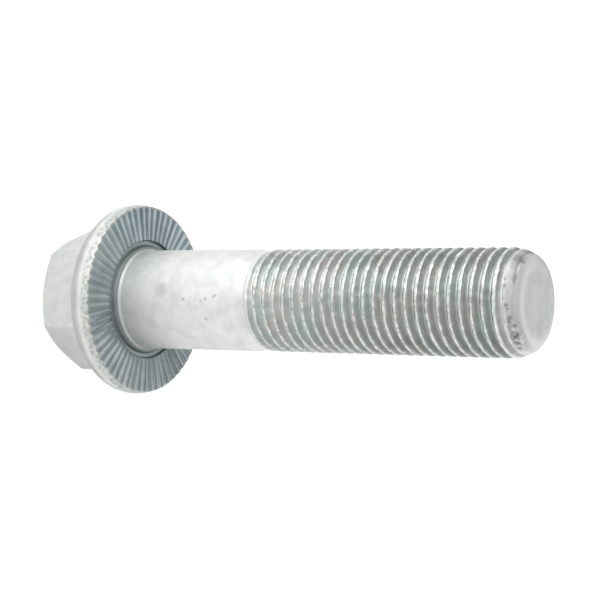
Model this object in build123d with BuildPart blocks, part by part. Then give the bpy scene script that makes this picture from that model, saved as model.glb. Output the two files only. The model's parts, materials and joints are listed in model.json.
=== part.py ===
# A propeller shaft bolt: a hexagon flange bolt, M14 x 1.5 x 60, with ribs under its flange.
# It is forged and rolled from one blank, so it is one solid, standing on the flat top of its head.
# Units are millimetres. +Z runs along the bolt, from the head to the tip of the thread.
# The seat is the plane of the rib crests, which bears on the coupling's flange.
import os
from math import cos, pi, radians, sin, sqrt, tan

from build123d import *

# Shank and thread, with the length counted from the seat
shank_diameter = 14.0
length_under_head = 60.0
thread_length = 38.5
thread_pitch = 1.5
thread_allowance = 0.1

# Run-out: a taper down to the blank that the thread is rolled on, and a short neck
runout_taper_length = 1.7
runout_neck_length = 0.35

# Tip, which narrows in a full curve to a flat end face
tip_curve_length = 3.9
tip_curve_depth = 1.45
tip_edge_radius = 0.4

# Hexagon head
across_flats = 18.0
head_height = 11.9
hexagon_edge_radius = 0.35
head_chamfer_width = 0.05
head_chamfer_angle = 30.0

# Flange
flange_diameter = 26.95
flange_edge_width = 0.35
flange_widest_depth = 1.7
flange_back_radius = 2.4
flange_back_slope = 25.0
hexagon_root_radius = 0.8
root_ledge_share = 0.3

# Ribs on the seat: one-sided teeth that run out through the flange's edge
rib_count = 60
rib_depth = 0.26
rib_land_share = 0.16
rib_steep_share = 0.26
first_rib_angle = 4.1

# Ring-shaped recess inside the ribs, and the collar that the shank grows from
recess_depth = 0.55
recess_width = 0.7
collar_width = 0.475
collar_draft = 0.175
collar_fillet_height = 0.75

# Diameters and radii that follow from these
thread_major_diameter = shank_diameter - thread_allowance
thread_triangle_height = thread_pitch * sqrt(3) / 2
rolling_diameter = shank_diameter - 0.75 * thread_triangle_height
shank_radius = shank_diameter / 2
thread_radius = thread_major_diameter / 2
rolling_radius = rolling_diameter / 2
flange_radius = flange_diameter / 2
seat_radius = flange_radius - flange_edge_width
collar_radius = shank_radius + collar_width
collar_foot_radius = collar_radius + collar_draft
recess_radius = collar_foot_radius + recess_width
tip_face_radius = thread_radius - tip_curve_depth

# Places along the axis, from the flat top of the head up
seat = head_height
widest = seat - flange_widest_depth
recess_floor = seat - recess_depth
fillet_top = seat + collar_fillet_height
tip = seat + length_under_head
tip_curve_start = tip - tip_curve_length
thread_start = tip - thread_length
neck_start = thread_start - (thread_radius - rolling_radius)
taper_end = neck_start - runout_neck_length
taper_start = taper_end - runout_taper_length


# The hexagon: six flats with rounded edges, and a turned chamfer round its flat top.
corner_radius = across_flats / sqrt(3)
chamfer_radius = across_flats / 2 - head_chamfer_width
corner_drop = (corner_radius - chamfer_radius) * tan(radians(head_chamfer_angle))

with BuildPart() as hexagon:
    with BuildSketch():
        RegularPolygon(across_flats / 2, side_count=6, major_radius=False)
    extrude(amount=widest)
    fillet(hexagon.edges().filter_by(Axis.Z), hexagon_edge_radius)
    with BuildSketch(Plane.XZ):
        with BuildLine():
            Polyline(
                (0, 0),
                (chamfer_radius, 0),
                (corner_radius, corner_drop),
                (corner_radius, widest),
                (0, widest),
                close=True,
            )
        make_face()
    revolve(axis=Axis.Z, mode=Mode.INTERSECT)


# The flange: a flat seat, a full rounded edge, and a sloping back that climbs to the hexagon.
# The hexagon's root is filleted, up to a share of the ledge that its corners leave.
edge_turn = radians(90 - flange_back_slope)
back_radius = flange_radius - flange_back_radius * (1 - cos(edge_turn))
back_height = widest - flange_back_radius * sin(edge_turn)
back_peak = back_height - back_radius * tan(radians(flange_back_slope))
root_radius = min(hexagon_root_radius, root_ledge_share * (flange_radius - corner_radius))

with BuildPart() as head:
    with BuildSketch(Plane.XZ):
        with BuildLine():
            Line((0, seat), (seat_radius, seat))
            TangentArc((flange_radius, widest), (seat_radius, seat), tangent=(0, 1))
            TangentArc((flange_radius, widest), (back_radius, back_height), tangent=(0, -1))
            Polyline((back_radius, back_height), (0, back_peak), (0, seat))
        make_face()
    revolve(axis=Axis.Z)
    add(hexagon.part)
    fillet(head.edges(Select.NEW), root_radius)


# One rib groove: a wedge whose edges all meet on the axis, so it widens and deepens outwards.
mouth_radius = flange_radius + flange_edge_width
mouth_scale = mouth_radius / seat_radius
rib_spacing = 2 * pi * mouth_radius / rib_count
steep_side = rib_spacing * rib_steep_share
gentle_side = rib_spacing * (1 - rib_land_share - rib_steep_share)

with BuildPart() as groove:
    with BuildSketch(Plane.YZ.offset(mouth_radius)) as mouth:
        with Locations((0, seat)):
            Polygon((-gentle_side, 0), (0, -rib_depth * mouth_scale), (steep_side, 0), align=None)
    loft([mouth.sketch.face(), Vertex(0, 0, seat)])


# The shank: a collar and its fillet under the head, the plain shank, its run-out, the thread and the tip.
with BuildPart() as shank:
    with BuildSketch(Plane.XZ):
        with BuildLine():
            Polyline((0, recess_floor), (collar_foot_radius, recess_floor), (collar_radius, seat))
            TangentArc((shank_radius, fillet_top), (collar_radius, seat), tangent=(0, -1))
            Polyline(
                (shank_radius, fillet_top),
                (shank_radius, taper_start),
                (rolling_radius, taper_end),
                (rolling_radius, neck_start),
                (thread_radius, thread_start),
                (thread_radius, tip_curve_start),
            )
            TangentArc((thread_radius, tip_curve_start), (tip_face_radius, tip), tangent=(0, 1))
            Polyline((tip_face_radius, tip), (0, tip), (0, recess_floor))
        make_face()
    revolve(axis=Axis.Z)
    fillet(shank.edges().filter_by(GeomType.CIRCLE).sort_by(Axis.Z)[-1], tip_edge_radius)


# The bolt: the head, with its ribs and the recess inside them cut into the seat, and the shank.
with BuildPart() as bolt:
    add(head.part)
    with PolarLocations(0, rib_count, start_angle=first_rib_angle):
        add(groove.part, mode=Mode.SUBTRACT)
    with BuildSketch(Plane.XY.offset(seat)):
        Circle(recess_radius)
    extrude(amount=-recess_depth, mode=Mode.SUBTRACT)
    add(shank.part)

bolt.part.label = "bolt"
os.makedirs("parts", exist_ok=True)
export_step(bolt.part, "parts/bolt.step")
print("solids", len(bolt.solids()), "volume", round(bolt.part.volume, 1))
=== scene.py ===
# A propeller shaft bolt in bright zinc-plated steel, standing on its head on a white floor.
# Sizes are millimetres until a mesh or an object is made, which is in metres.
# Angles round the bolt are polar angles in the row frame, in radians where not said otherwise. Turns
# from the camera's side of the bolt are positive upwards in the photo.
import json
from math import ceil, cos, floor, pi, radians, sin, sqrt, tan

import bmesh
import bpy
import numpy as np
from mathutils import Matrix, Vector


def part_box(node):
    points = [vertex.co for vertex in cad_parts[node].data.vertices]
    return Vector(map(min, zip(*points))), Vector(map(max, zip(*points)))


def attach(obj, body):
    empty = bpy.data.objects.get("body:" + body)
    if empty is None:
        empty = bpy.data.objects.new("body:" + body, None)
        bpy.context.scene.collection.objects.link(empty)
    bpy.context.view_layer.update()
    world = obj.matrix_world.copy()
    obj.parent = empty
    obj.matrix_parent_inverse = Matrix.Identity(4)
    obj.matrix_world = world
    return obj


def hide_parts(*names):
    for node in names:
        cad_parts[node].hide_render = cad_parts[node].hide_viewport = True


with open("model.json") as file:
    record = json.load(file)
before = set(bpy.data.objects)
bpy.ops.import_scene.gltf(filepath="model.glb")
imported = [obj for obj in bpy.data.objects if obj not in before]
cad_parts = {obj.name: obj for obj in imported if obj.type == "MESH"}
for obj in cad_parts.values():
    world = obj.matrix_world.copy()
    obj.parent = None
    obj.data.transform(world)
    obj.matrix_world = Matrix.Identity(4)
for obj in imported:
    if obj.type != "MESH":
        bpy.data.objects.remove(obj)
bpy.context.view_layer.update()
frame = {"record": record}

MM = 0.001

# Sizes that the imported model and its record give
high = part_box("bolt")[1]
mounts = {mount["name"]: mount for mount in frame["record"]["mounts"]}
TIP = high.z / MM
FLANGE_RADIUS = high.x / MM
SEAT = mounts["seat"]["pos_m"][2] / MM
SHANK_RADIUS = mounts["shank"]["dims"]["r_mm"]
CREST_RADIUS = mounts["thread"]["dims"]["r_mm"]

# The hexagon head and the flange
ACROSS_FLATS = 18.0
HEXAGON_EDGE_ROUNDING = 0.3
CHAMFER_RADIUS = 8.95
CHAMFER_SLOPE = radians(30)
TOP_RING_SHARE = 0.6
WIDEST = SEAT - 1.7
SEAT_RADIUS = FLANGE_RADIUS - 0.35
BACK_RADIUS = 2.4
BACK_SLOPE = radians(25)
BACK_TURN = pi / 2 - BACK_SLOPE
BACK_START = FLANGE_RADIUS - BACK_RADIUS * (1 - cos(BACK_TURN))
BACK_HEIGHT = WIDEST - BACK_RADIUS * sin(BACK_TURN)
EDGE_WIDTH = FLANGE_RADIUS - SEAT_RADIUS
EDGE_RADIUS = (EDGE_WIDTH ** 2 + (SEAT - WIDEST) ** 2) / (2 * EDGE_WIDTH)

# Ribs, the recess inside them and the collar, whose fillet is an arc
RIB_COUNT = 60
RIB_DEPTH = 0.26
RIB_LAND = 0.16
RIB_STEEP = 0.26
FIRST_VALLEY = radians(4.1)
RIB_VALLEY_ROUNDING = 0.3
RIB_LAND_ROUNDING = 0.25
RIB_WEAR = 0.2
RECESS_FLOOR = SEAT - 0.55
RECESS_RADIUS = 8.35
COLLAR_FOOT = 7.65
COLLAR_RADIUS = 7.475
COLLAR_TOP = SEAT + 0.75
FILLET_RISE = COLLAR_TOP - SEAT
FILLET_WIDTH = COLLAR_RADIUS - SHANK_RADIUS
FILLET_RADIUS = (FILLET_WIDTH ** 2 + FILLET_RISE ** 2) / (2 * FILLET_WIDTH)

# How far the rounding of each corner of the head's outline reaches along its sides
SHOULDER_REACH = 0.25
CHAMFER_REACH = 0.3
ROOT_REACH = 0.7
RIB_END_REACH = 0.1
RECESS_EDGE_REACH = 0.08
RECESS_CORNER_REACH = 0.15
COLLAR_EDGE_REACH = 0.06

# Thread, its run-out and the tip
PITCH = 1.5
FIRST_CREST = SEAT + 24.15
ROLLING_RADIUS = SHANK_RADIUS - 0.375 * PITCH * sqrt(3) / 2
THREAD_DEPTH = 0.613 * PITCH
CREST_FLAT = PITCH / 4
CREST_ROUNDING = 0.3
ROOT_ROUNDING = 0.4
CREST_WOBBLE = 0.04
CREST_WEAR = 0.075
TAPER_START = SEAT + 19.1
TAPER_END = SEAT + 20.9
SHANK_END_ROUNDING = 0.05
NECK_ROUNDING = 0.08
THREAD_STARTS = TAPER_END - 0.6
THREAD_FULL = SEAT + 22.2
LAST_GROOVE = (TIP - 2.2, TIP - 1.0)
LAST_GROOVE_EXTRA = 0.35
TIP_CURVE_START = TIP - 3.9
TIP_CURVE_RADIUS = 5.97
TIP_CURVE_ROUNDING = 0.15
TIP_FACE_RADIUS = 5.5
TIP_EDGE_HEIGHT = 0.75
TIP_EDGE_INNER = 4.3

# A nick in the edge of the tip: where it starts and ends, as turns from the camera's side, its height
# and slope along the bolt, how far it reaches to both sides, its depth and how ragged it is
NICK_START = radians(-18)
NICK_END = radians(-70)
NICK_HEIGHT = TIP - 0.95
NICK_SLOPE = 0.4
NICK_REACH = 0.85
NICK_DEPTH = 0.6
NICK_RAGGEDNESS = 0.45

# Columns and rows of the mesh. Rows lie level up to the thread's foot. From there they follow its
# helix, at these distances from the crest on both sides. Points that are closer than the merging
# distance become one.
HEAD_COLUMNS = 720
SHAFT_COLUMNS = 144
SHANK_ROWS = (COLLAR_TOP + 1.0, TAPER_START - 0.5, 1.5)
HELIX_FOOT = TAPER_START - 0.3
HELIX_END = TIP - TIP_EDGE_HEIGHT
CREST_ROWS = (0.0, 0.08, 0.15, 0.23, 0.35, 0.5, 0.63)
MERGE_DISTANCE = 0.002
SHORTEST_EDGE = 0.0005

# The plating's colours, of which a noise mixes those in pairs, and the tints that multiply them
ZINC = ((0.66, 0.685, 0.68), (0.79, 0.80, 0.785))
GRAIN_ZINC = (0.6, 0.62, 0.62)
TIP_EDGE_ZINC = (0.88, 0.885, 0.89)
THREAD_FILM = ((1.0, 0.965, 0.955), (0.945, 0.995, 0.985))
# Painted shade in the thread's valleys
PAINTED_VALLEY_SHADE = (0.70, 0.72, 0.72)
# Painted shade on the thread's flanks past the crest
PAINTED_FLANK_SHADE = (0.83, 0.82, 0.815)
RIB_FILM = ((0.64, 0.71, 0.75), (0.80, 0.86, 0.89))
# Painted shade on the ribs' low side
PAINTED_LOW_RIB_SHADE = (0.76, 0.77, 0.78)
# Painted shade in the rib grooves, stronger on the upper right side
PAINTED_GROOVE_SHADE = (0.45, 0.54, 0.60)
WORN_TINT = (0.68, 0.69, 0.68)
# Painted shade on the upper side of the tip's curve
PAINTED_TIP_SHADE = (0.52, 0.53, 0.53)

# What the colours of whole regions are multiplied by. The flange's back and the recess are darkened as
# painted shade.
REGION_TINTS = {
    "head": (0.88, 0.88, 0.87),
    # Painted shade on the flange's back, below its widest point
    "back": (0.68, 0.68, 0.66),
    "rim": (0.90, 0.90, 0.89),
    # Painted shade in the recess inside the ribs
    "recess": (0.46, 0.52, 0.53),
    "crest": (0.94, 0.94, 0.935),
    "face": (0.99, 0.995, 1.0),
}

# The plating's roughness, from smooth to rough grain, and how much rougher some regions are. How
# metallic it is, and how much less so at the shank's foot. The grain's height, and how strongly it
# shows, on clean plating and in addition where it is worn.
ROUGHNESS = (0.47, 0.54)
ROUGHNESS_CHANGES = {"thread": -0.24, "valley": 0.1, "ribs": -0.2}
LOW_THREAD_CHANGE = 0.22
METALLIC = 0.9
SHANK_FOOT_CHANGE = -0.25
GRAIN_HEIGHT = 0.03
GRAIN_STRENGTH = 0.1
WORN_STRENGTH = 0.6

# Pits, specks and a smudge: height above the seat, degrees round from the camera's side, size, shade
MARKS = (
    (7.3, 10.5, 1.5, 0.84),
    (11.3, 0.5, 0.34, 0.66),
    (14.2, -1.0, 0.3, 0.75),
    (14.95, 1.0, 0.34, 0.66),
    (16.3, 3.4, 0.3, 0.66),
    (16.6, 5.2, 0.3, 0.7),
    (14.8, -21.5, 0.34, 0.72),
    (58.25, 26.0, 0.25, 0.6),
    (58.3, 18.5, 0.34, 0.6),
    (58.25, 4.5, 0.22, 0.6),
    (58.6, -2.5, 0.34, 0.55),
    (58.75, -6.5, 0.26, 0.6),
    (58.9, -17.0, 0.4, 0.55),
    (58.8, -21.0, 0.3, 0.55),
    (59.3, 57.0, 0.5, 0.6),
    (59.25, -28.0, 0.4, 0.55),
    (59.05, -43.0, 0.5, 0.45),
    (58.95, -54.0, 0.5, 0.5),
    (58.9, -63.0, 0.4, 0.55),
)

# The camera, fitted to the photograph: the seat's centre is the point that it is placed by. Only the
# nearest that it sees is in metres.
PHOTO_SIZE = 600
CAMERA_LENS = 93.97
SENSOR = 36.0
AXIS_TO_VIEW = radians(57.568)
AXIS_ROLL = radians(-0.544)
SEAT_PIXEL = (148.43, 299.23)
SEAT_DEPTH = 222.907
TOWARDS_CAMERA = radians(-82.9)
NEAREST_SEEN = 0.01

# The floor, in metres but for its gap under the bolt. A lift is light that it gives of its own: to
# the camera, which makes it white, and to metal that mirrors it, near the bolt and far from it.
FLOOR_HALF = 3.0
FLOOR_GAP = 0.02
FLOOR_GREY = 0.85
CAMERA_LIFT = 0.66
MIRROR_LIFT = 0.43
FAR_LIFT = 0.7
FAR_REACH = (0.03, 0.2)

# Parts of the room that the metal mirrors. An aim is a turn round the bolt from the camera's side
# and a slope upwards. A spread says how nearly a ray points there, as a cosine, where the glow starts
# and where it is full. A rise says how steeply the ray climbs, as a sine, where the glow starts to
# fade and where it is gone. A lift is the glow that the floor adds in the same direction, and a reach
# is how far from the bolt, in metres, that starts and is full.
WINDOW_AIM = (radians(50), 0.0)
WINDOW_SPREAD = (0.79, 0.98)
WINDOW_GLOW = 1.9
WINDOW_RISE = (0.3, 0.75)
WINDOW_LIFT = 0.5
WINDOW_REACH = (0.02, 0.11)
FILL_AIM = (radians(-95), 0.0)
FILL_SPREAD = (0.3, 0.95)
FILL_GLOW = 0.45
FILL_RISE = (0.0, 0.5)
FILL_LIFT = 0.27
FILL_REACH = (0.02, 0.1)
BEHIND_AIM = (radians(180), 0.75)
BEHIND_SPREAD = (0.75, 0.98)
BEHIND_GLOW = 0.64
FRONT_AIM = (0.0, 1.0)
FRONT_SPREAD = (0.6, 0.95)
FRONT_GLOW = 0.25
DARK_AIM = (radians(168), 0.12)
DARK_SPREAD = (0.92, 0.995)
DARK_LEFT = 0.1
LOW_ROOM_GLOW = 0.49
LOW_ROOM_RISE = (0.0, 0.65)
OVERHEAD_GLOW = 0.33
ROOM_COLOUR = (1.0, 1.0, 0.985)

# One soft lamp, in metres and watts. It is beside the bolt, on its upper side in the photo, a little
# towards the camera and as high as the tip.
KEY_BESIDE = 0.075
KEY_OUTWARDS = 0.04
KEY_HEIGHT = 0.07
KEY_SIZE = 0.05
KEY_POWER = 0.035


def smoothstep(low_edge, high_edge, x):
    share = np.clip((x - low_edge) / (high_edge - low_edge), 0, 1)
    return share * share * (3 - 2 * share)


def soft_min(a, b, width):
    """The smaller of two lengths, rounded over about this width where they cross."""
    blend = np.maximum(width - np.abs(a - b), 0) / width
    return np.minimum(a, b) - blend * blend * width / 4


def soft_max(a, b, width):
    return -soft_min(-np.asarray(a), -np.asarray(b), width)


def waves(count, slowest, fastest, seed):
    """A smooth, repeatable wobble round the bolt and along it, mostly between -1 and 1."""
    draw = np.random.default_rng(seed)
    turns = draw.integers(slowest, fastest + 1, count)
    along = draw.uniform(-fastest, fastest, count) / SHANK_RADIUS
    start = draw.uniform(0, 2 * pi, count)

    def wobble(angle, height):
        total = 0
        for n, k, s in zip(turns, along, start):
            total = total + np.sin(n * angle + k * height + s)
        return total / sqrt(count)

    return wobble


rib_wear = waves(12, 7, 46, seed=3)
crest_wobble = waves(30, 3, 34, seed=5)
crest_wear = waves(40, 9, 60, seed=8)
nick_wear = waves(24, 30, 72, seed=11)


class Skin:
    """Rings of points round the bolt's axis, and the faces between them."""

    def __init__(self):
        self.points = []
        self.faces = []

    def ring(self, radius, height, angle):
        radius, height, angle = np.broadcast_arrays(radius, height, angle)
        first = len(self.points)
        self.points += list(zip(radius * np.cos(angle), radius * np.sin(angle), height))
        return np.arange(first, first + len(angle))

    def join(self, a, b):
        """Faces between two rings, of which one may have a whole multiple of the other's points."""
        if len(a) < len(b):
            a, b = b, a
        step = len(a) // len(b)
        for i in range(len(b)):
            left, right = b[i], b[(i + 1) % len(b)]
            run = [a[(i * step + k) % len(a)] for k in range(step + 1)]
            half = step // 2
            for k in range(step):
                apex = left if k < half or step == 1 else right
                self.faces.append((run[k], run[k + 1], apex))
            self.faces.append((run[half] if step > 1 else run[1], right, left))

    def cap(self, ring, height):
        self.points.append((0, 0, height))
        middle = len(self.points) - 1
        for i in range(len(ring)):
            self.faces.append((ring[i], ring[(i + 1) % len(ring)], middle))

    def mesh(self, name):
        data = bpy.data.meshes.new(name)
        points = [Vector(point) * MM for point in self.points]
        data.from_pydata(points, [], [tuple(map(int, face)) for face in self.faces])
        work = bmesh.new()
        work.from_mesh(data)
        bmesh.ops.remove_doubles(work, verts=work.verts, dist=MERGE_DISTANCE * MM)
        bmesh.ops.dissolve_degenerate(work, edges=work.edges, dist=SHORTEST_EDGE * MM)
        bmesh.ops.recalc_face_normals(work, faces=work.faces)
        for face in work.faces:
            face.smooth = True
        work.to_mesh(data)
        work.free()
        return in_scene(name, data)


def in_scene(name, data):
    """A new object in the scene that shows this mesh, camera or lamp."""
    piece = bpy.data.objects.new(name, data)
    bpy.context.scene.collection.objects.link(piece)
    return piece


def bend(before, corner, after, reach, count):
    """Points of a rounded corner between two straight stretches, for every direction at once."""
    def along(point):
        dr, dz = point[0] - corner[0], point[1] - corner[1]
        length = np.sqrt(dr * dr + dz * dz)
        share = np.minimum(reach / length, 0.5)
        return corner[0] + dr * share, corner[1] + dz * share

    (ar, az), (br, bz) = along(before), along(after)
    points = []
    for t in np.linspace(0, 1, count):
        u, v, w = (1 - t) ** 2, 2 * t * (1 - t), t * t
        points.append((u * ar + v * corner[0] + w * br, u * az + v * corner[1] + w * bz))
    return points


def hexagon_radius(angle):
    """Distance from the axis to the hexagon's rounded flats, with a corner at angle zero."""
    off_corner = (angle + pi / 6) % (pi / 3) - pi / 6
    one_flat = ACROSS_FLATS / 2 / np.cos(off_corner + pi / 6)
    next_flat = ACROSS_FLATS / 2 / np.cos(off_corner - pi / 6)
    return soft_min(one_flat, next_flat, HEXAGON_EDGE_ROUNDING)


def hexagon_rows(angle):
    """Rows of (radius, height) from the flat top of the head over the flats to the flange's back."""
    one = np.ones_like(angle)
    flat = hexagon_radius(angle)
    top, shoulder = (TOP_RING_SHARE * CHAMFER_RADIUS * one, 0 * one), (CHAMFER_RADIUS * one, 0 * one)
    corner = (flat, (flat - CHAMFER_RADIUS) * tan(CHAMFER_SLOPE))
    root = (flat, BACK_HEIGHT - (BACK_START - flat) * tan(BACK_SLOPE))
    back = (BACK_START * one, BACK_HEIGHT * one)

    rows = [top]
    rows += bend(top, shoulder, corner, SHOULDER_REACH, 4)
    rows += bend(shoulder, corner, root, CHAMFER_REACH, 5)
    start, end = corner[1] + CHAMFER_REACH, root[1] - ROOT_REACH
    rows += [(flat, start + (end - start) * share) for share in (0.33, 0.67)]
    return rows + bend(corner, root, back, ROOT_REACH, 7)


def rib_cut(angle):
    """Depth of the rib grooves at the seat's edge: a gentle side, a valley, a steep side and a land."""
    gentle = 1 - RIB_LAND - RIB_STEEP
    share = (angle - FIRST_VALLEY) * RIB_COUNT / (2 * pi) + gentle + RIB_LAND / 2
    share = share % 1 - RIB_LAND / 2
    cut = soft_min(share / gentle, (gentle + RIB_STEEP - share) / RIB_STEEP, RIB_VALLEY_ROUNDING)
    wear = 1 - RIB_WEAR / 2 + RIB_WEAR * rib_wear(angle, SEAT)
    return RIB_DEPTH * soft_max(cut, 0, RIB_LAND_ROUNDING) * wear


def edge_at(height):
    """Radius of the flange's rounded edge, from where it is widest up to the seat."""
    return FLANGE_RADIUS - EDGE_RADIUS * (1 - np.sqrt(1 - ((height - WIDEST) / EDGE_RADIUS) ** 2))


def flange_rows(angle):
    """Rows over the flange's back and edge and in along the ribs, and the ribs' inner end."""
    one = np.ones_like(angle)
    rows = []
    for t in np.linspace(-BACK_TURN, 0, 11):
        radius = FLANGE_RADIUS - BACK_RADIUS * (1 - cos(t))
        rows.append((radius * one, (WIDEST + BACK_RADIUS * sin(t)) * one))

    # The ribs run out through the rounded edge. Each step comes closer to where they meet it.
    cut = rib_cut(angle)
    end_radius = SEAT_RADIUS * one
    for _ in range(5):
        end_height = SEAT - cut * end_radius / SEAT_RADIUS
        end_radius = edge_at(end_height)
    for share in (0.35, 0.65, 0.9):
        height = WIDEST + (end_height - WIDEST) * share
        rows.append((edge_at(height), height))

    inner = (RECESS_RADIUS * one, SEAT - cut * RECESS_RADIUS / SEAT_RADIUS)
    rows += bend(rows[-1], (end_radius, end_height), inner, RIB_END_REACH, 4)
    for share in (0.25, 0.5, 0.75):
        radius = end_radius + (inner[0] - end_radius) * share
        rows.append((radius, end_height + (inner[1] - end_height) * share))
    return rows, inner


def collar_rows(last, inner):
    """Rows from the ribs' inner end through the recess, up the collar and over its fillet."""
    one = np.ones_like(inner[0])
    foot_out = (RECESS_RADIUS * one, RECESS_FLOOR * one)
    foot_in = (COLLAR_FOOT * one, RECESS_FLOOR * one)
    collar = (COLLAR_RADIUS * one, SEAT * one)
    shank = (SHANK_RADIUS * one, COLLAR_TOP * one)
    rows = bend(last, inner, foot_out, RECESS_EDGE_REACH, 3)
    rows += bend(inner, foot_out, foot_in, RECESS_CORNER_REACH, 3)
    rows += bend(foot_out, foot_in, collar, RECESS_CORNER_REACH, 3)
    rows += bend(foot_in, collar, shank, COLLAR_EDGE_REACH, 3)
    for share in (0.15, 0.3, 0.45, 0.6, 0.8, 1.0):
        left = FILLET_RISE * (1 - share)
        radius = SHANK_RADIUS + FILLET_RADIUS - sqrt(FILLET_RADIUS ** 2 - left ** 2)
        rows.append((radius * one, (COLLAR_TOP - left) * one))
    return rows


def thread_form(height, angle):
    """Radius of the right-hand thread where it is full: 60 degree flanks, rolled crests and roots."""
    turn = (height - FIRST_CREST) / PITCH - (angle - TOWARDS_CAMERA) / (2 * pi)
    turn = turn + CREST_WOBBLE * crest_wobble(angle, height)
    off_crest = np.abs(turn - np.round(turn)) * PITCH
    flank = CREST_RADIUS - (off_crest - CREST_FLAT / 2) * sqrt(3)
    root = CREST_RADIUS - THREAD_DEPTH - LAST_GROOVE_EXTRA * smoothstep(*LAST_GROOVE, height)
    form = soft_max(soft_min(flank, CREST_RADIUS, CREST_ROUNDING), root, ROOT_ROUNDING)
    wear = CREST_WEAR * np.clip(crest_wear(angle, height), 0, 1.5)
    return form - wear * smoothstep(PITCH / 5, 0, off_crest)


def tip_curve(height):
    """Radius of the tip: an arc that leaves the thread's crests and closes in on the end face."""
    past = np.maximum(height - TIP_CURVE_START, 0)
    return CREST_RADIUS - TIP_CURVE_RADIUS + np.sqrt(TIP_CURVE_RADIUS ** 2 - past ** 2)


def nick(height, angle):
    """Depth of the rough nick in the tip's edge."""
    turn = (TOWARDS_CAMERA - angle + pi) % (2 * pi) - pi
    share = np.clip((NICK_START - turn) / (NICK_START - NICK_END), 0, 1)
    across = np.abs(height - NICK_HEIGHT + NICK_SLOPE * (share - 0.5)) / NICK_REACH
    ragged = np.clip(1 - NICK_RAGGEDNESS + NICK_RAGGEDNESS * nick_wear(angle, height), 0, 1.4)
    return NICK_DEPTH * ragged * np.sin(pi * share) * smoothstep(1, 0.2, across)


def shaft_radius(height, angle):
    """Radius of the shank, its taper, the thread and the curved tip."""
    narrowed = (height - TAPER_START) / (TAPER_END - TAPER_START)
    taper = SHANK_RADIUS - (SHANK_RADIUS - ROLLING_RADIUS) * narrowed
    blank = soft_max(soft_min(taper, SHANK_RADIUS, SHANK_END_ROUNDING), ROLLING_RADIUS, NECK_ROUNDING)
    formed = smoothstep(THREAD_STARTS, THREAD_FULL, height)
    body = blank + (thread_form(height, angle) - blank) * formed
    return soft_min(body, tip_curve(height), TIP_CURVE_ROUNDING) - nick(height, angle)


def columns(count):
    """Polar angles of the mesh's columns."""
    return np.arange(count) * 2 * pi / count


def add_head(skin):
    angle = columns(HEAD_COLUMNS)
    flange, inner = flange_rows(angle)
    rows = hexagon_rows(angle) + flange + collar_rows(flange[-1], inner)
    rings = [skin.ring(radius, height, angle) for radius, height in rows]
    skin.cap(rings[0], 0.0)
    for a, b in zip(rings, rings[1:]):
        skin.join(a, b)
    return rings[-1]


def add_shank(skin, last):
    angle = columns(SHAFT_COLUMNS)
    for height in np.arange(*SHANK_ROWS):
        ring = skin.ring(shaft_radius(height, angle), height, angle)
        skin.join(last, ring)
        last = ring
    return last


def add_thread(skin, last):
    """Rows that follow the helix, held between the end of the shank and the tip's rounded edge."""
    angle = columns(SHAFT_COLUMNS)
    steps = sorted(set(CREST_ROWS) | {-row for row in CREST_ROWS} | {PITCH / 2})
    lift = PITCH * (angle - TOWARDS_CAMERA) / (2 * pi)
    first = floor((HELIX_FOOT - FIRST_CREST - lift.max()) / PITCH) - 1
    final = ceil((HELIX_END - FIRST_CREST - lift.min()) / PITCH) + 2
    rows = []
    for turn in range(first, final):
        for step in steps:
            height = np.clip(FIRST_CREST + turn * PITCH + step + lift, HELIX_FOOT, HELIX_END)
            rows.append(skin.ring(shaft_radius(height, angle), height, angle))
    join_helix(skin, rows, len(steps))
    foot = skin.ring(shaft_radius(HELIX_FOOT, angle), HELIX_FOOT, angle)
    skin.join(last, foot)
    return skin.ring(shaft_radius(HELIX_END, angle), HELIX_END, angle)


def join_helix(skin, rows, per_turn):
    """Faces between rows of a helix, of which each goes on after one turn as a later row."""
    for j in range(len(rows) - 1):
        for k in range(SHAFT_COLUMNS - 1):
            skin.faces.append((rows[j][k], rows[j][k + 1], rows[j + 1][k + 1], rows[j + 1][k]))
        if j + per_turn + 1 < len(rows):
            wrapped, after = rows[j + per_turn][0], rows[j + per_turn + 1][0]
            skin.faces.append((rows[j][-1], wrapped, after, rows[j + 1][-1]))


def add_tip(skin, last):
    """The rounded edge of the tip and its flat end face."""
    angle = columns(SHAFT_COLUMNS)
    outer = shaft_radius(HELIX_END, angle)
    for t in np.linspace(0, 1, 10)[1:]:
        radius = (1 - t) ** 2 * outer + 2 * t * (1 - t) * TIP_FACE_RADIUS + t * t * TIP_EDGE_INNER
        ring = skin.ring(radius, TIP - TIP_EDGE_HEIGHT * (1 - t) ** 2, angle)
        skin.join(last, ring)
        last = ring
    for share in (0.7, 0.4):
        ring = skin.ring(share * TIP_EDGE_INNER, TIP, angle)
        skin.join(last, ring)
        last = ring
    skin.cap(last, TIP)


def make_bolt():
    skin = Skin()
    last = add_head(skin)
    last = add_shank(skin, last)
    last = add_thread(skin, last)
    add_tip(skin, last)
    return skin.mesh("zinc_bolt")


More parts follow.
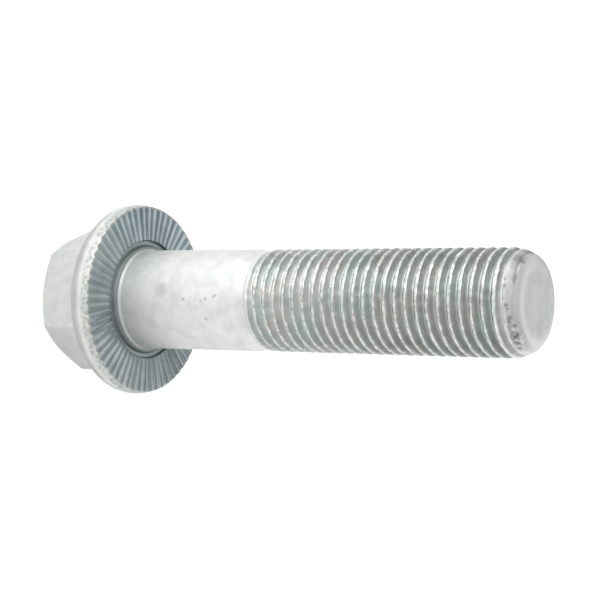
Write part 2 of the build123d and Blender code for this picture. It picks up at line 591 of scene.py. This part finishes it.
class Nodes:
    """Short ways to add nodes to a material or a world and link them."""

    def __init__(self, owner):
        owner.use_nodes = True
        self.tree = owner.node_tree
        self.tree.nodes.clear()

    def add(self, kind, settings=None, **inputs):
        node = self.tree.nodes.new(kind)
        for name, value in (settings or {}).items():
            setattr(node, name, value)
        for name, value in inputs.items():
            self.put(node.inputs[name.replace("_", " ")], value)
        return node

    def put(self, socket, value):
        if hasattr(value, "links"):
            self.tree.links.new(value, socket)
        elif socket.type == "RGBA":
            socket.default_value = (*value, 1)
        else:
            socket.default_value = value

    def math(self, operation, a, b, c=0.0):
        node = self.add("ShaderNodeMath", {"operation": operation})
        for socket, value in zip(node.inputs, (a, b, c)):
            self.put(socket, value)
        return node.outputs[0]

    def times(self, a, b):
        return self.math("MULTIPLY", a, b)

    def plus(self, a, b):
        return self.math("ADD", a, b)

    def vector(self, operation, a, b=(0, 0, 0)):
        node = self.add("ShaderNodeVectorMath", {"operation": operation})
        self.put(node.inputs[0], a)
        self.put(node.inputs[1], b)
        measures = ("DOT_PRODUCT", "DISTANCE", "LENGTH")
        return node.outputs["Value" if operation in measures else "Vector"]

    def mix(self, share, a, b, blend="MIX"):
        settings = {"data_type": "RGBA", "blend_type": blend}
        node = self.add("ShaderNodeMix", settings, Factor=share)
        colours = [socket for socket in node.inputs if socket.type == "RGBA"]
        self.put(colours[0], a)
        self.put(colours[1], b)
        return next(socket for socket in node.outputs if socket.type == "RGBA")

    def tint(self, share, colour, tint):
        """A colour, multiplied by a tint as far as the share says."""
        return self.mix(share, colour, tint, "MULTIPLY")

    def noise(self, place, scale, detail=3.0, rough=0.55):
        node = self.add("ShaderNodeTexNoise", Vector=place, Scale=scale, Detail=detail, Roughness=rough)
        return node.outputs["Fac"]

    def ramp(self, value, start, end, before=0.0, after=1.0):
        """A smooth step from one level to another between two values."""
        node = self.add("ShaderNodeMapRange", {"interpolation_type": "SMOOTHSTEP"}, Value=value)
        levels = {"From Min": start, "From Max": end, "To Min": before, "To Max": after}
        for name, level in levels.items():
            node.inputs[name].default_value = level
        return node.outputs["Result"]

    def fade(self, value, start, end):
        return self.ramp(value, start, end, 1.0, 0.0)


class Spot:
    """A point of the surface as the shader sees it: where it is on the bolt, and the noises there."""

    def __init__(self, nodes, outwards, beside):
        surface = nodes.add("ShaderNodeTexCoord").outputs["Object"]
        scaled = nodes.add("ShaderNodeVectorMath", {"operation": "SCALE"}, Vector=surface, Scale=1 / MM)
        self.place = scaled.outputs["Vector"]
        parts = nodes.add("ShaderNodeSeparateXYZ", Vector=self.place).outputs
        self.height = parts["Z"]
        squares = nodes.math("MULTIPLY_ADD", parts["Y"], parts["Y"], nodes.times(parts["X"], parts["X"]))
        self.radius = nodes.math("SQRT", squares, 0.0)
        self.angle = nodes.math("ARCTAN2", parts["Y"], parts["X"])
        self.up = nodes.vector("DOT_PRODUCT", self.place, beside)
        self.upper_right = nodes.vector("DOT_PRODUCT", self.place, beside * 0.8 - outwards * 0.6)
        self.clouds = nodes.noise(self.place, 0.5, 5.0, 0.6)
        self.grain = nodes.noise(self.place, 3.0, 4.0, 0.65)
        self.film = nodes.noise(self.place, 0.28, 3.0)


def head_regions(nodes, spot):
    """How much a point belongs to each region of the head and the flange, between 0 and 1."""
    height, radius = spot.height, spot.radius
    above_recess = nodes.ramp(height, SEAT - 0.7, SEAT - 0.5)
    seat = nodes.times(above_recess, nodes.fade(height, SEAT + 0.1, SEAT + 0.4))
    ring = nodes.times(seat, nodes.fade(radius, SEAT_RADIUS - 0.3, SEAT_RADIUS))
    back = nodes.fade(height, WIDEST - 0.6, WIDEST + 0.3)
    edge = nodes.ramp(height, WIDEST + 0.3, WIDEST + 0.9)
    return {
        "head": nodes.fade(height, WIDEST - 1.5, WIDEST - 1.0),
        "back": nodes.times(back, nodes.ramp(radius, 10.5, 12.0)),
        "rim": nodes.times(edge, nodes.ramp(radius, FLANGE_RADIUS - 0.6, FLANGE_RADIUS - 0.3)),
        "ribs": nodes.times(ring, nodes.ramp(radius, RECESS_RADIUS - 0.2, RECESS_RADIUS)),
        "grooves": nodes.times(above_recess, nodes.fade(height, SEAT - 0.14, SEAT - 0.01)),
        "recess": nodes.times(seat, nodes.fade(radius, RECESS_RADIUS, RECESS_RADIUS + 0.2)),
    }


def thread_regions(nodes, spot):
    """How much a point belongs to each region of the thread, between 0 and 1."""
    formed = nodes.ramp(spot.height, TAPER_END, THREAD_FULL)
    thread = nodes.times(formed, nodes.fade(spot.height, TIP - 3.0, TIP - 2.0))
    start = TOWARDS_CAMERA / (2 * pi) - FIRST_CREST / PITCH
    turn = nodes.math("MULTIPLY_ADD", spot.height, 1 / PITCH, start)
    past_crest = nodes.math("FRACT", nodes.math("MULTIPLY_ADD", spot.angle, -1 / (2 * pi), turn), 0.0)
    flank = nodes.times(nodes.ramp(past_crest, 0.06, 0.16), nodes.fade(past_crest, 0.28, 0.48))
    return {
        "thread": thread,
        "crest": nodes.times(thread, nodes.ramp(spot.radius, CREST_RADIUS - 0.2, CREST_RADIUS - 0.05)),
        "valley": nodes.times(thread, nodes.fade(spot.radius, CREST_RADIUS - 0.4, CREST_RADIUS - 0.08)),
        "flank": nodes.times(thread, flank),
    }


def tip_regions(nodes, spot):
    """How much a point belongs to each region of the tip, between 0 and 1."""
    height, radius = spot.height, spot.radius
    curve, end = nodes.ramp(height, TIP - 2.2, TIP - 1.4), nodes.ramp(height, TIP - 0.9, TIP - 0.1)
    edge = nodes.ramp(height, TIP - 0.8, TIP - 0.4)
    return {
        "curve": nodes.times(curve, nodes.fade(height, TIP - 0.5, TIP - 0.1)),
        "edge": nodes.times(edge, nodes.ramp(radius, 3.6, 5.4)),
        "face": nodes.times(end, nodes.fade(radius, TIP_FACE_RADIUS, TIP_FACE_RADIUS + 0.5)),
    }


def base_colour(nodes, spot):
    """Cloudy, slightly grained zinc."""
    cloudy = nodes.mix(nodes.ramp(spot.clouds, 0.3, 0.7), *ZINC)
    return nodes.mix(nodes.ramp(spot.grain, 0.35, 0.7, 0.0, 0.16), cloudy, GRAIN_ZINC)


def thread_colour(nodes, spot, part, colour):
    """A reddish and greenish film, and painted shade in the valleys and on the flanks past the crest
    that grows along the bolt.
    """
    film = nodes.mix(nodes.ramp(spot.film, 0.4, 0.6), *THREAD_FILM)
    colour = nodes.tint(part["thread"], colour, film)
    # Painted shade in the thread's valleys, stronger towards the tip
    valley_shade = nodes.times(part["valley"], nodes.ramp(spot.height, SEAT + 22.0, SEAT + 42.0, 0.2, 1.0))
    colour = nodes.tint(valley_shade, colour, PAINTED_VALLEY_SHADE)
    # Painted shade on the flanks past the crest, stronger towards the tip
    flank_shade = nodes.times(part["flank"], nodes.ramp(spot.height, SEAT + 34.0, SEAT + 50.0, 0.25, 1.0))
    return nodes.tint(flank_shade, colour, PAINTED_FLANK_SHADE)


def rib_colour(nodes, spot, part, colour):
    """A blue-grey film on the ribs, with painted shade on their low side and in their grooves on the
    upper right side.
    """
    film = nodes.mix(nodes.ramp(spot.film, 0.35, 0.6), *RIB_FILM)
    colour = nodes.tint(part["ribs"], colour, film)
    # Painted shade on the low side of the ribs
    low = nodes.times(part["ribs"], nodes.fade(spot.up, -1.0, 8.0))
    colour = nodes.tint(low, colour, PAINTED_LOW_RIB_SHADE)
    # Painted shade in the rib grooves, strongest on the upper right side
    groove_shade_side = nodes.ramp(spot.upper_right, -8.0, 8.0, 0.1, 1.0)
    grooves = nodes.times(nodes.times(part["ribs"], part["grooves"]), groove_shade_side)
    return nodes.tint(grooves, colour, PAINTED_GROOVE_SHADE)


def tip_colour(nodes, spot, part, colour):
    """Painted shade on the upper side of the tip's curve, and a clean edge round its face."""
    # Painted shade on the tip's upper side, patchy with the clouds
    tip_shade = nodes.times(part["curve"], nodes.ramp(spot.up, -3.0, 3.0, 0.1, 1.0))
    tip_shade = nodes.times(tip_shade, nodes.ramp(spot.clouds, 0.3, 0.65, 1.0, 0.7))
    colour = nodes.tint(tip_shade, colour, PAINTED_TIP_SHADE)
    return nodes.mix(part["edge"], colour, TIP_EDGE_ZINC)


def mark_share(nodes, spot, height, turn, size):
    """How close a point is to a mark on the surface, between 0 and 1."""
    angle = TOWARDS_CAMERA - radians(turn)
    radius = float(shaft_radius(SEAT + height, angle))
    middle = (radius * cos(angle), radius * sin(angle), SEAT + height)
    return nodes.fade(nodes.vector("DISTANCE", spot.place, middle), size * 0.3, size)


def plating_colour(nodes, spot, part, worn):
    """The plating's colour, worn in broken patches, tinted by region, with painted shade in places, and
    marked.
    """
    colour = base_colour(nodes, spot)
    broken = nodes.fade(nodes.noise(spot.place, 1.7, 4.0, 0.7), 0.42, 0.56)
    colour = nodes.tint(nodes.times(worn, broken), colour, WORN_TINT)
    for region, tint in REGION_TINTS.items():
        colour = nodes.tint(part[region], colour, tint)
    colour = thread_colour(nodes, spot, part, colour)
    colour = rib_colour(nodes, spot, part, colour)
    colour = tip_colour(nodes, spot, part, colour)
    for height, turn, size, shade in MARKS:
        colour = nodes.tint(mark_share(nodes, spot, height, turn, size), colour, (shade, shade, shade))
    return colour


def plating_roughness(nodes, spot, part):
    """Satin, glossier on the ribs, and on the thread but for its side that lies low in the photo."""
    rough = nodes.ramp(spot.grain, 0.3, 0.7, *ROUGHNESS)
    for region, change in ROUGHNESS_CHANGES.items():
        rough = nodes.math("MULTIPLY_ADD", part[region], change, rough)
    low_thread = nodes.times(part["thread"], nodes.fade(spot.up, -5.5, -1.5))
    return nodes.math("MULTIPLY_ADD", low_thread, LOW_THREAD_CHANGE, rough)


def zinc(outwards, beside):
    """Bright zinc with a thin clear film, cloudy and a little pitted, and worn on crests and rim."""
    material = bpy.data.materials.new("zinc_plate")
    nodes = Nodes(material)
    spot = Spot(nodes, outwards, beside)
    part = {**head_regions(nodes, spot), **thread_regions(nodes, spot), **tip_regions(nodes, spot)}
    worn = nodes.plus(part["rim"], part["crest"])

    above_seat = nodes.ramp(spot.height, SEAT, SEAT + 0.6)
    shank_foot = nodes.times(above_seat, nodes.fade(spot.height, SEAT + 3.0, SEAT + 9.0))
    bumps = nodes.math("MULTIPLY_ADD", spot.clouds, 2.0, spot.grain)
    relief = nodes.add("ShaderNodeBump", Distance=GRAIN_HEIGHT * MM, Height=bumps)
    strength = nodes.math("MULTIPLY_ADD", worn, WORN_STRENGTH, GRAIN_STRENGTH)
    nodes.put(relief.inputs["Strength"], strength)
    shader = nodes.add(
        "ShaderNodeBsdfPrincipled",
        Base_Color=plating_colour(nodes, spot, part, worn),
        Metallic=nodes.math("MULTIPLY_ADD", shank_foot, SHANK_FOOT_CHANGE, METALLIC),
        Roughness=plating_roughness(nodes, spot, part),
        Normal=relief.outputs["Normal"],
    )
    nodes.add("ShaderNodeOutputMaterial", Surface=shader.outputs["BSDF"])
    return material


def aimed(outwards, beside, turn, slope):
    """The direction of a part of the room, from its aim."""
    return (outwards * cos(turn) + beside * sin(turn) + Vector((0, 0, slope))).normalized()


def towards(nodes, ray, aim, spread, most=1.0):
    """A glow that is strongest for rays in one direction and fades round it."""
    unit = nodes.vector("NORMALIZE", ray)
    return nodes.ramp(nodes.vector("DOT_PRODUCT", unit, aim), *spread, 0.0, most)


def darkened(nodes, ray, glow, room):
    """A glow with the dark part of the room taken out of it."""
    share = towards(nodes, ray, room["dark"], DARK_SPREAD)
    return nodes.times(glow, nodes.ramp(share, 0.0, 1.0, 1.0, DARK_LEFT))


def floor_lift(nodes, room):
    """Light of the floor's own: even for the camera, and like the room above it for mirroring metal."""
    path = nodes.add("ShaderNodeLightPath").outputs
    mirrored = nodes.plus(path["Is Glossy Ray"], path["Is Transmission Ray"])
    place = nodes.add("ShaderNodeNewGeometry").outputs["Position"]
    away = nodes.vector("LENGTH", place)
    window = towards(nodes, place, room["window"], WINDOW_SPREAD)
    fill = towards(nodes, place, room["fill"], FILL_SPREAD)
    lift = nodes.ramp(away, *FAR_REACH, MIRROR_LIFT, FAR_LIFT)
    lift = nodes.plus(lift, nodes.times(window, nodes.ramp(away, *WINDOW_REACH, 0.0, WINDOW_LIFT)))
    lift = nodes.plus(lift, nodes.times(fill, nodes.ramp(away, *FILL_REACH, 0.0, FILL_LIFT)))
    lift = nodes.times(mirrored, darkened(nodes, place, lift, room))
    return nodes.math("MULTIPLY_ADD", path["Is Camera Ray"], CAMERA_LIFT, lift)


def white_floor(room):
    """A matt floor that carries the bolt's shadow, lifted for the camera to the background's white."""
    material = bpy.data.materials.new("floor_white")
    nodes = Nodes(material)
    matt = nodes.add("ShaderNodeBsdfDiffuse", Color=(FLOOR_GREY, FLOOR_GREY, FLOOR_GREY))
    glow = nodes.add("ShaderNodeEmission", Strength=floor_lift(nodes, room))
    both = nodes.add("ShaderNodeAddShader")
    nodes.put(both.inputs[0], matt.outputs["BSDF"])
    nodes.put(both.inputs[1], glow.outputs["Emission"])
    nodes.add("ShaderNodeOutputMaterial", Surface=both.outputs["Shader"])

    data = bpy.data.meshes.new("floor")
    corners = [(-FLOOR_HALF, -FLOOR_HALF), (FLOOR_HALF, -FLOOR_HALF)]
    corners += [(FLOOR_HALF, FLOOR_HALF), (-FLOOR_HALF, FLOOR_HALF)]
    data.from_pydata([(x, y, -FLOOR_GAP * MM) for x, y in corners], [], [(0, 1, 2, 3)])
    data.materials.append(material)
    piece = in_scene("floor", data)


def white_room(room):
    """White to the camera. To the bolt it is bright low down and dim overhead, with its named parts."""
    world = bpy.data.worlds.new("studio")
    bpy.context.scene.world = world
    nodes = Nodes(world)
    ray = nodes.add("ShaderNodeTexCoord").outputs["Generated"]
    rise = nodes.add("ShaderNodeSeparateXYZ", Vector=ray).outputs["Z"]
    level = nodes.vector("MULTIPLY", ray, (1, 1, 0))
    window = towards(nodes, level, room["window"], WINDOW_SPREAD)
    fill = towards(nodes, level, room["fill"], FILL_SPREAD)
    glow = nodes.times(window, nodes.ramp(rise, *WINDOW_RISE, WINDOW_GLOW, 0.0))
    glow = nodes.plus(glow, nodes.times(fill, nodes.ramp(rise, *FILL_RISE, FILL_GLOW, 0.0)))
    glow = nodes.plus(glow, nodes.ramp(rise, *LOW_ROOM_RISE, LOW_ROOM_GLOW, 0.0))
    glow = nodes.plus(glow, towards(nodes, ray, room["behind"], BEHIND_SPREAD, BEHIND_GLOW))
    glow = nodes.plus(glow, towards(nodes, ray, room["front"], FRONT_SPREAD, FRONT_GLOW))
    glow = darkened(nodes, ray, nodes.plus(glow, OVERHEAD_GLOW), room)
    seen = nodes.add("ShaderNodeLightPath").outputs["Is Camera Ray"]
    strength = nodes.math("MAXIMUM", glow, seen)
    back = nodes.add("ShaderNodeBackground", Color=ROOM_COLOUR, Strength=strength)
    nodes.add("ShaderNodeOutputWorld", Surface=back.outputs["Background"])


def key_lamp(outwards, beside):
    """One soft square lamp, aimed at the bolt's foot and not mirrored in the metal."""
    data = bpy.data.lights.new("key", "AREA")
    data.shape = "RECTANGLE"
    data.size = data.size_y = KEY_SIZE
    data.energy = KEY_POWER
    place = beside * KEY_BESIDE + outwards * KEY_OUTWARDS + Vector((0, 0, KEY_HEIGHT))
    piece = in_scene("key", data)
    piece.location = place
    piece.rotation_euler = (-place).to_track_quat("-Z", "Y").to_euler()
    piece.visible_glossy = False


def place_camera(outwards, beside):
    """The photograph's camera, which looks down on the bolt and is rolled so that it lies across."""
    focal = CAMERA_LENS / SENSOR * PHOTO_SIZE
    across = sin(AXIS_TO_VIEW)
    axis = Vector((across * cos(AXIS_ROLL), across * sin(AXIS_ROLL), cos(AXIS_TO_VIEW)))
    middle = PHOTO_SIZE / 2
    right, up = (SEAT_PIXEL[0] - middle) / focal, (middle - SEAT_PIXEL[1]) / focal
    seat = Vector((right, up, -1)) * SEAT_DEPTH
    away = (seat - seat.dot(axis) * axis).normalized()
    seen = Matrix((axis, -away, axis.cross(away)))
    turn = Matrix((Vector((0, 0, 1)), outwards, beside)).transposed() @ seen
    place = (Vector((0, 0, SEAT)) - turn @ seat) * MM

    data = bpy.data.cameras.new("camera")
    data.lens = CAMERA_LENS
    data.sensor_width = SENSOR
    data.clip_start = NEAREST_SEEN
    camera = in_scene("camera", data)
    camera.matrix_world = Matrix.Translation(place) @ turn.to_4x4()
    bpy.context.scene.camera = camera


# Directions across the bolt: outwards to the camera, and beside it, which is up in the photo
outwards = Vector((cos(TOWARDS_CAMERA), sin(TOWARDS_CAMERA), 0))
beside = Vector((sin(TOWARDS_CAMERA), -cos(TOWARDS_CAMERA), 0))
place_camera(outwards, beside)

bolt = make_bolt()
bolt.data.materials.append(zinc(outwards, beside))
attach(bolt, "root")
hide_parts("bolt")

room = {
    "window": aimed(outwards, beside, *WINDOW_AIM),
    "fill": aimed(outwards, beside, *FILL_AIM),
    "behind": aimed(outwards, beside, *BEHIND_AIM),
    "front": aimed(outwards, beside, *FRONT_AIM),
    "dark": aimed(outwards, beside, *DARK_AIM),
}
white_floor(room)
white_room(room)
key_lamp(outwards, beside)
bpy.context.scene.view_settings.view_transform = "Standard"
